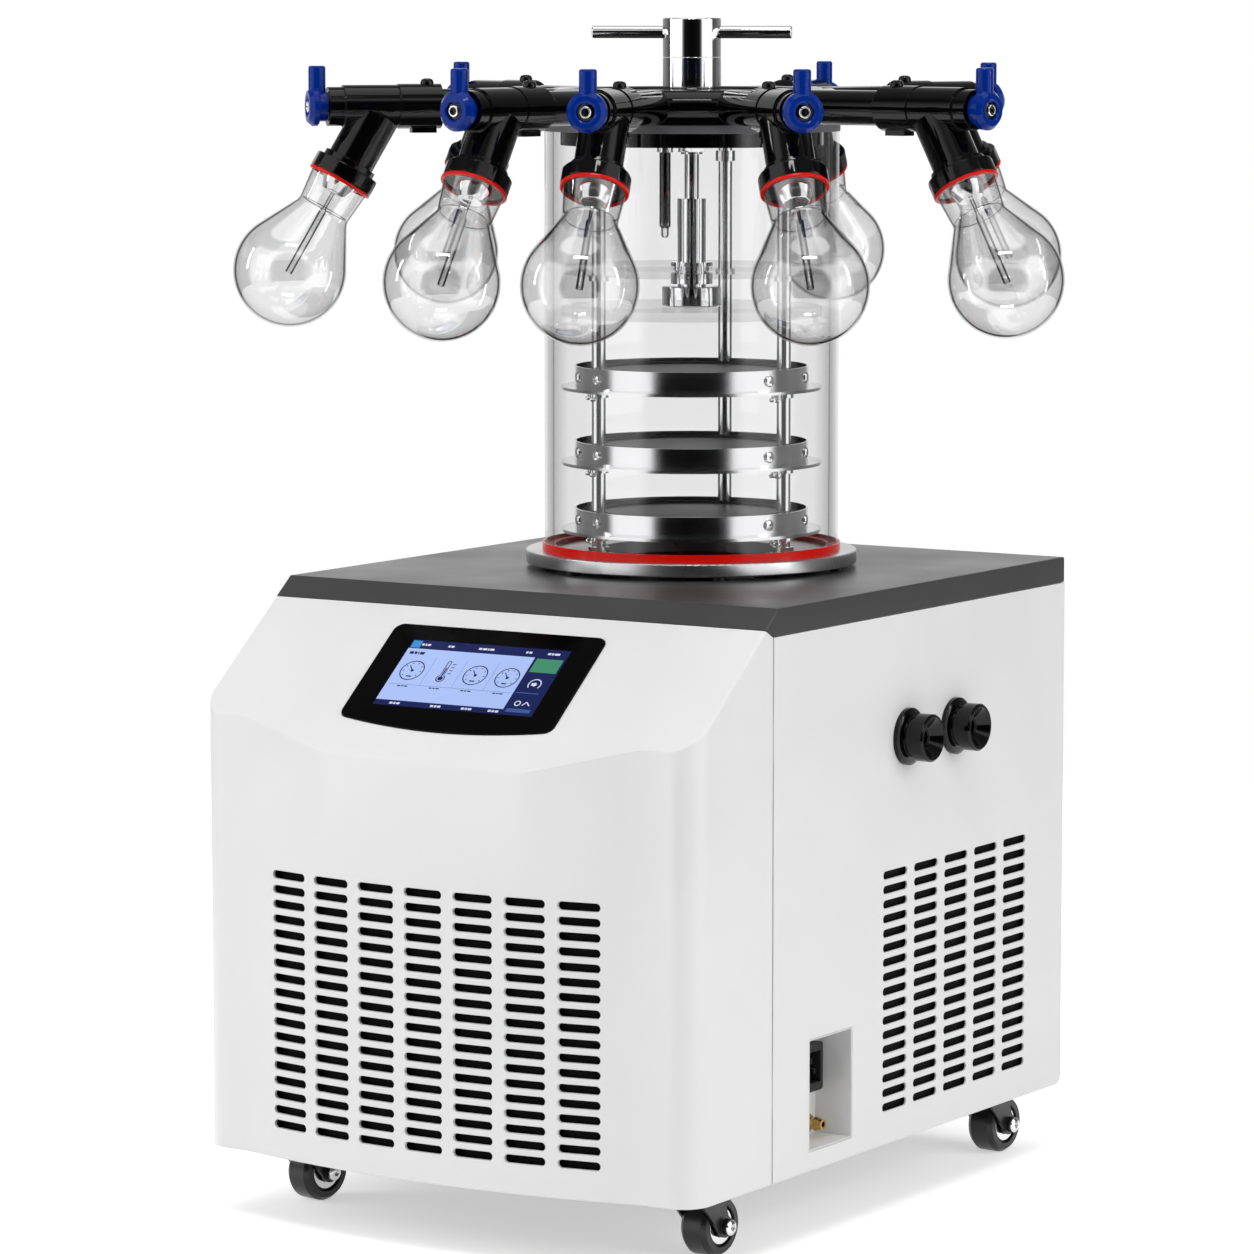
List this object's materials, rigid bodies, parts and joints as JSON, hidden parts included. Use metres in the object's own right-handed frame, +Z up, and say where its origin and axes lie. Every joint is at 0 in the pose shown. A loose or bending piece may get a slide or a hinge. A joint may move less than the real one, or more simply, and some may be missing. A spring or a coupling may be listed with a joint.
{
  "type": "freeze dryer",
  "caption": "Benchtop freeze dryer: wheeled cabinet with a sloped display, a clear chamber with stoppering trays, and a manifold of valved arms holding round flasks",
  "frame": {"origin": "on the floor under the middle of the whole machine", "axes": "+Z up, -Y out of the front face with the display, +X to the right-hand side seen from the front, where the vacuum ports are"},
  "size_m": [0.7642, 0.797, 0.9893],
  "materials": {
    "white_metal": "white powder coat",
    "white_moulding": "smooth white moulding",
    "dark_cover": "satin dark grey paint",
    "black_gloss": "glossy black",
    "black_matte": "fine matt black",
    "blue_gloss": "glossy blue",
    "red_rubber": "soft red-orange",
    "grey_rubber": "grey seal",
    "black_rubber": "black rubber",
    "caster_tyre": "black rubber tyre on a black core",
    "clear_wall": "clear, polished",
    "clear_glass": "clear thin glass",
    "chrome": "polished",
    "steel": "polished stainless steel",
    "dark_steel": "black enamel",
    "aluminium": "satin turned face",
    "brass": "machined brass",
    "copper_tube": "bare tube",
    "board": "circuit board"
  },
  "bodies": {
    "machine": {"front_cover": "white_moulding", "touch_panel": "black_gloss", "right_panel": "white_metal", "left_panel": "white_metal", "rear_panel": "white_metal", "base_pan": "dark_steel", "top_cover": "dark_cover", "service_recess": "white_metal", "mains_inlet": "black_matte", "drain_fitting": "brass", "vacuum_ports": "black_gloss", "chamber_flange": "aluminium", "flange_feet": "black_rubber", "chamber_gasket": "red_rubber", "bell_cylinder": "clear_wall", "lid_gasket": "grey_rubber", "manifold_hub": "black_gloss", "valve_bodies": "black_gloss", "flask_nuts": "black_gloss", "flask_seals": "red_rubber", "flasks": "clear_glass", "flask_tubes": "black_rubber", "rack_rods": "chrome", "shelf_plates": "steel", "shelf_rings": "steel", "sample_trays": "steel", "guide_plate": "clear_wall", "guide_bush": "chrome", "sensor_probe": "chrome", "press_post": "chrome", "cold_trap": "steel", "trap_coil": "copper_tube", "compressor": "dark_steel", "condenser": "aluminium", "fan_shroud": "black_matte", "control_board": "board", "caster_plates": "steel"},
    "press_screw": {"press_head": "chrome", "press_bar": "chrome", "press_spindle": "chrome"},
    "press_ram": {"press_sleeve": "chrome", "press_puck": "chrome", "press_plate": "clear_wall"},
    "fan": {"fan_rotor": "black_matte"},
    "handle_1": {"valve_handle_1": "blue_gloss"},
    "handle_2": {"valve_handle_2": "blue_gloss"},
    "handle_3": {"valve_handle_3": "blue_gloss"},
    "handle_4": {"valve_handle_4": "blue_gloss"},
    "handle_5": {"valve_handle_5": "blue_gloss"},
    "handle_6": {"valve_handle_6": "blue_gloss"},
    "handle_7": {"valve_handle_7": "blue_gloss"},
    "handle_8": {"valve_handle_8": "blue_gloss"},
    "fork_1": {"caster_fork_1": "dark_steel"},
    "wheel_1": {"caster_wheel_1": "caster_tyre"},
    "fork_2": {"caster_fork_2": "dark_steel"},
    "wheel_2": {"caster_wheel_2": "caster_tyre"},
    "fork_3": {"caster_fork_3": "dark_steel"},
    "wheel_3": {"caster_wheel_3": "caster_tyre"},
    "fork_4": {"caster_fork_4": "dark_steel"},
    "wheel_4": {"caster_wheel_4": "caster_tyre"}
  },
  "joints": [
    {"name": "press_turn", "type": "hinge", "parent": "machine", "child": "press_screw", "pos_m": [0, 0.009, 0.95], "axis": [0, 0, -1], "range_deg": [0, 2520]},
    {"name": "press_travel", "type": "slide", "parent": "machine", "child": "press_ram", "axis": [0, 0, -1], "range_m": [0, 0.035]},
    {"name": "fan_spin", "type": "hinge", "parent": "machine", "child": "fan", "pos_m": [0, -0.2785, 0.1765], "axis": [0, 1, 0], "continuous": true},
    {"name": "valve_turn_1", "type": "hinge", "parent": "machine", "child": "handle_1", "pos_m": [-0.21728, -0.21211, 0.9157], "axis": [-0.7009, -0.7133, 0], "range_deg": [-90, 90]},
    {"name": "valve_turn_2", "type": "hinge", "parent": "machine", "child": "handle_2", "pos_m": [-0.01893, -0.30042, 0.9157], "axis": [-0.061, -0.9981, 0], "range_deg": [-90, 90]},
    {"name": "valve_turn_3", "type": "hinge", "parent": "machine", "child": "handle_3", "pos_m": [0.09064, -0.28745, 0.9157], "axis": [0.2924, -0.9563, 0], "range_deg": [-90, 90]},
    {"name": "valve_turn_4", "type": "hinge", "parent": "machine", "child": "handle_4", "pos_m": [0.22856, -0.20043, 0.9157], "axis": [0.7373, -0.6756, 0], "range_deg": [-90, 90]},
    {"name": "valve_turn_5", "type": "hinge", "parent": "machine", "child": "handle_5", "pos_m": [0.3043, -0.05015, 0.9157], "axis": [0.9816, -0.1908, 0], "range_deg": [-90, 90]},
    {"name": "valve_turn_6", "type": "hinge", "parent": "machine", "child": "handle_6", "pos_m": [0.11863, 0.2954, 0.9157], "axis": [0.3827, 0.9239, 0], "range_deg": [-90, 90]},
    {"name": "valve_turn_7", "type": "hinge", "parent": "machine", "child": "handle_7", "pos_m": [-0.05383, 0.31429, 0.9157], "axis": [-0.1736, 0.9848, 0], "range_deg": [-90, 90]},
    {"name": "valve_turn_8", "type": "hinge", "parent": "machine", "child": "handle_8", "pos_m": [-0.29398, 0.10736, 0.9157], "axis": [-0.9483, 0.3173, 0], "range_deg": [-90, 90]},
    {"name": "caster_swivel_1", "type": "hinge", "parent": "machine", "child": "fork_1", "pos_m": [-0.195, -0.296, 0.053], "axis": [0, 0, 1], "continuous": true},
    {"name": "caster_roll_1", "type": "hinge", "parent": "fork_1", "child": "wheel_1", "pos_m": [-0.19187, -0.27827, 0.025], "axis": [0.9848, -0.1736, 0], "continuous": true},
    {"name": "caster_swivel_2", "type": "hinge", "parent": "machine", "child": "fork_2", "pos_m": [0.195, -0.296, 0.053], "axis": [0, 0, 1], "continuous": true},
    {"name": "caster_roll_2", "type": "hinge", "parent": "fork_2", "child": "wheel_2", "pos_m": [0.19626, -0.27804, 0.025], "axis": [0.9976, -0.0698, 0], "continuous": true},
    {"name": "caster_swivel_3", "type": "hinge", "parent": "machine", "child": "fork_3", "pos_m": [0.195, 0.181, 0.053], "axis": [0, 0, 1], "continuous": true},
    {"name": "caster_roll_3", "type": "hinge", "parent": "fork_3", "child": "wheel_3", "pos_m": [0.19626, 0.19896, 0.025], "axis": [0.9976, -0.0698, 0], "continuous": true},
    {"name": "caster_swivel_4", "type": "hinge", "parent": "machine", "child": "fork_4", "pos_m": [-0.195, 0.181, 0.053], "axis": [0, 0, 1], "continuous": true},
    {"name": "caster_roll_4", "type": "hinge", "parent": "fork_4", "child": "wheel_4", "pos_m": [-0.19281, 0.19887, 0.025], "axis": [0.9925, -0.1219, 0], "continuous": true}
  ],
  "couplings": [
    {"joint": "press_travel", "follows": "press_turn", "m_per_rad": 0.000795}
  ]
}
